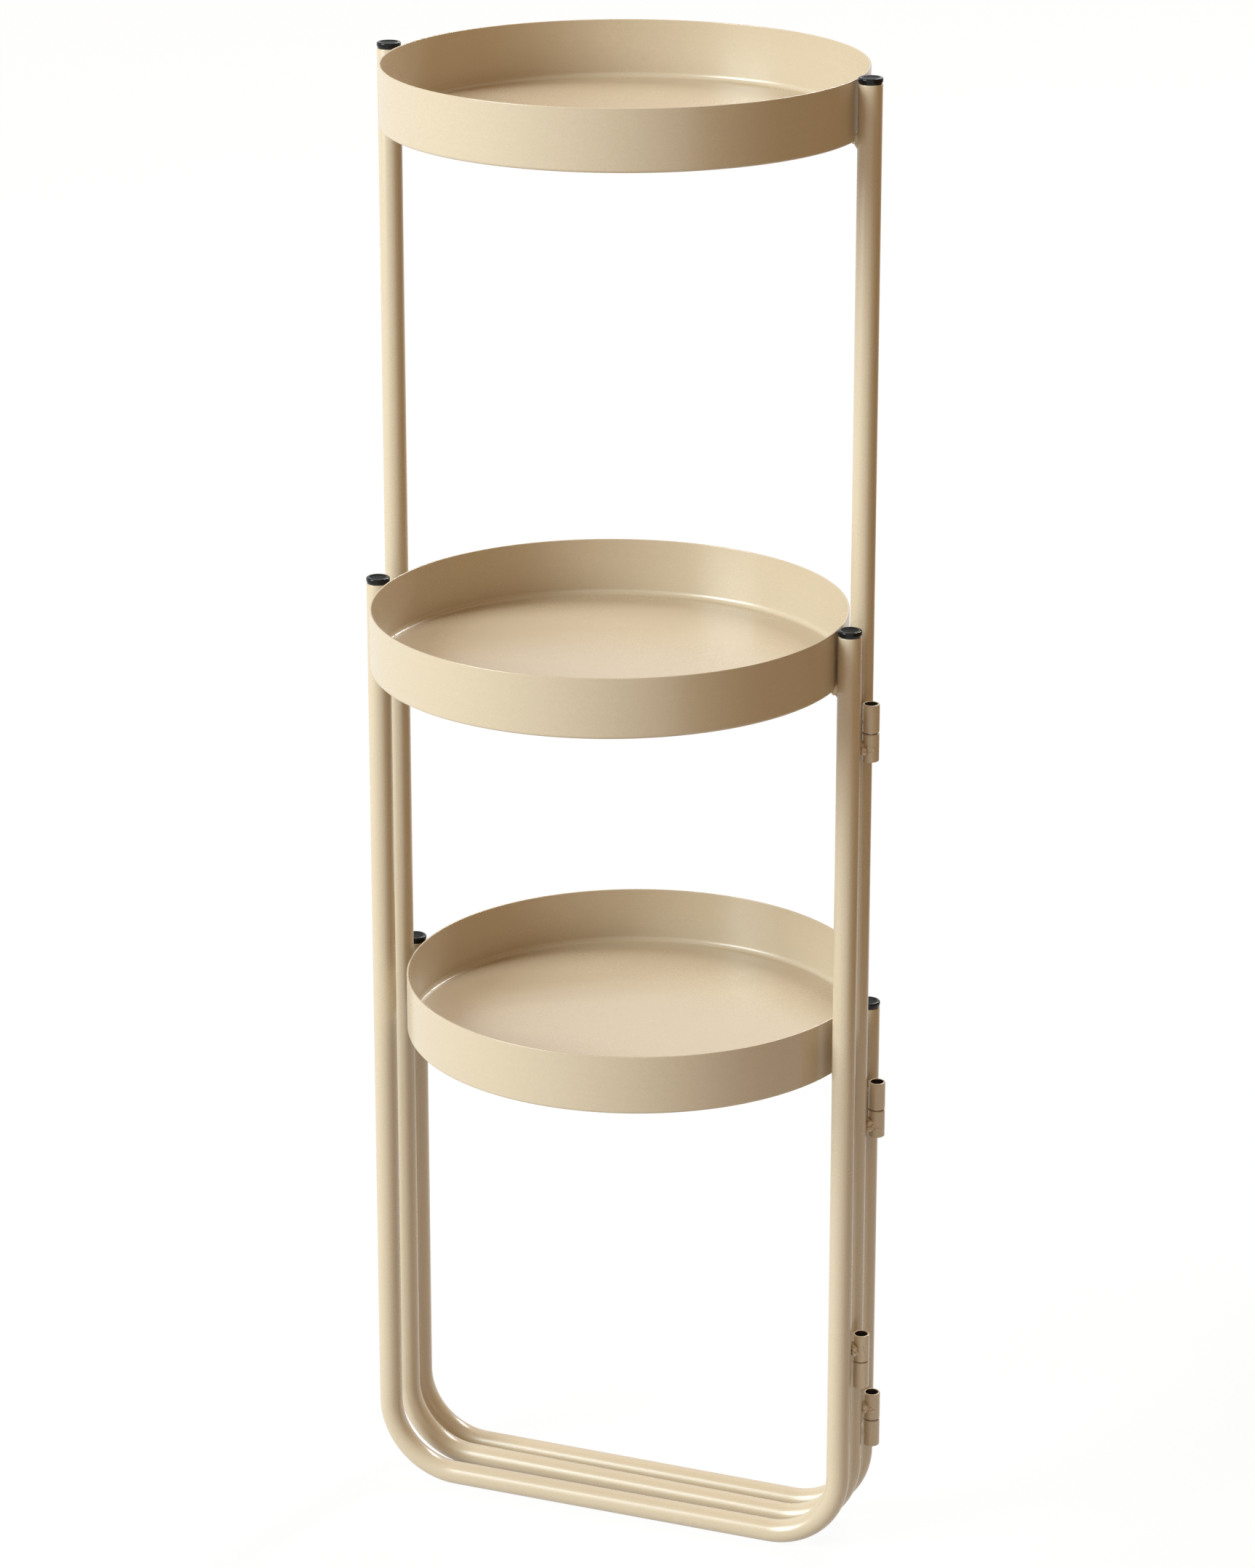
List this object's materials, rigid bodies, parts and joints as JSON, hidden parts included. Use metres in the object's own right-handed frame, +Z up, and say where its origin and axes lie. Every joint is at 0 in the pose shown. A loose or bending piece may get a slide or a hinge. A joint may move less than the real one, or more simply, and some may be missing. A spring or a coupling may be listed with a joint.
{
  "type": "folding plant stand",
  "caption": "Folding tiered plant stand: U-shaped bent tube frames of stepped heights, barrel-hinged along one side like a screen, each carrying a round shallow tray.",
  "frame": {"origin": "on the floor, under the middle of the tall frame's bottom bar", "axes": "+Z up along the legs; +X along the tall frame's bottom bar towards the hinges; -Y is the front, the side of the middle frame"},
  "size_m": [0.2885, 0.2942, 0.8214],
  "materials": {
    "frame_beige": "satin powder coat, sand beige",
    "tray_beige": "satin powder coat, sand beige",
    "hinge_beige": "satin powder coat, sand beige",
    "weld_beige": "powder coat over a weld bead",
    "pin_steel": "plain steel",
    "plug_black": "moulded, glossy black"
  },
  "bodies": {
    "tall_frame": {"tall_frame_tube": "frame_beige", "upper_tray": "tray_beige", "tall_tray_welds": "weld_beige", "tall_hinge_welds": "weld_beige", "tall_left_plug": "plug_black", "tall_right_plug": "plug_black", "middle_upper_hinge_top_knuckle": "hinge_beige", "middle_lower_hinge_bottom_knuckle": "hinge_beige", "middle_lower_hinge_pin": "pin_steel", "short_upper_hinge_bottom_knuckle": "hinge_beige", "short_upper_hinge_pin": "pin_steel", "short_lower_hinge_top_knuckle": "hinge_beige"},
    "middle_frame": {"middle_frame_tube": "frame_beige", "middle_tray": "tray_beige", "middle_tray_welds": "weld_beige", "middle_hinge_welds": "weld_beige", "middle_left_plug": "plug_black", "middle_right_plug": "plug_black", "middle_upper_hinge_bottom_knuckle": "hinge_beige", "middle_upper_hinge_pin": "pin_steel", "middle_lower_hinge_top_knuckle": "hinge_beige"},
    "short_frame": {"short_frame_tube": "frame_beige", "lower_tray": "tray_beige", "short_tray_welds": "weld_beige", "short_hinge_welds": "weld_beige", "short_left_plug": "plug_black", "short_right_plug": "plug_black", "short_upper_hinge_top_knuckle": "hinge_beige", "short_lower_hinge_bottom_knuckle": "hinge_beige", "short_lower_hinge_pin": "pin_steel"}
  },
  "joints": [
    {"name": "middle_frame_swing", "type": "hinge", "parent": "tall_frame", "child": "middle_frame", "pos_m": [0.14315, -0.00975, 0], "axis": [0, 0, 1], "range_deg": [-2, 134]},
    {"name": "short_frame_swing", "type": "hinge", "parent": "tall_frame", "child": "short_frame", "pos_m": [0.14315, 0.00975, 0], "axis": [0, 0, -1], "range_deg": [-0.5, 135]}
  ]
}
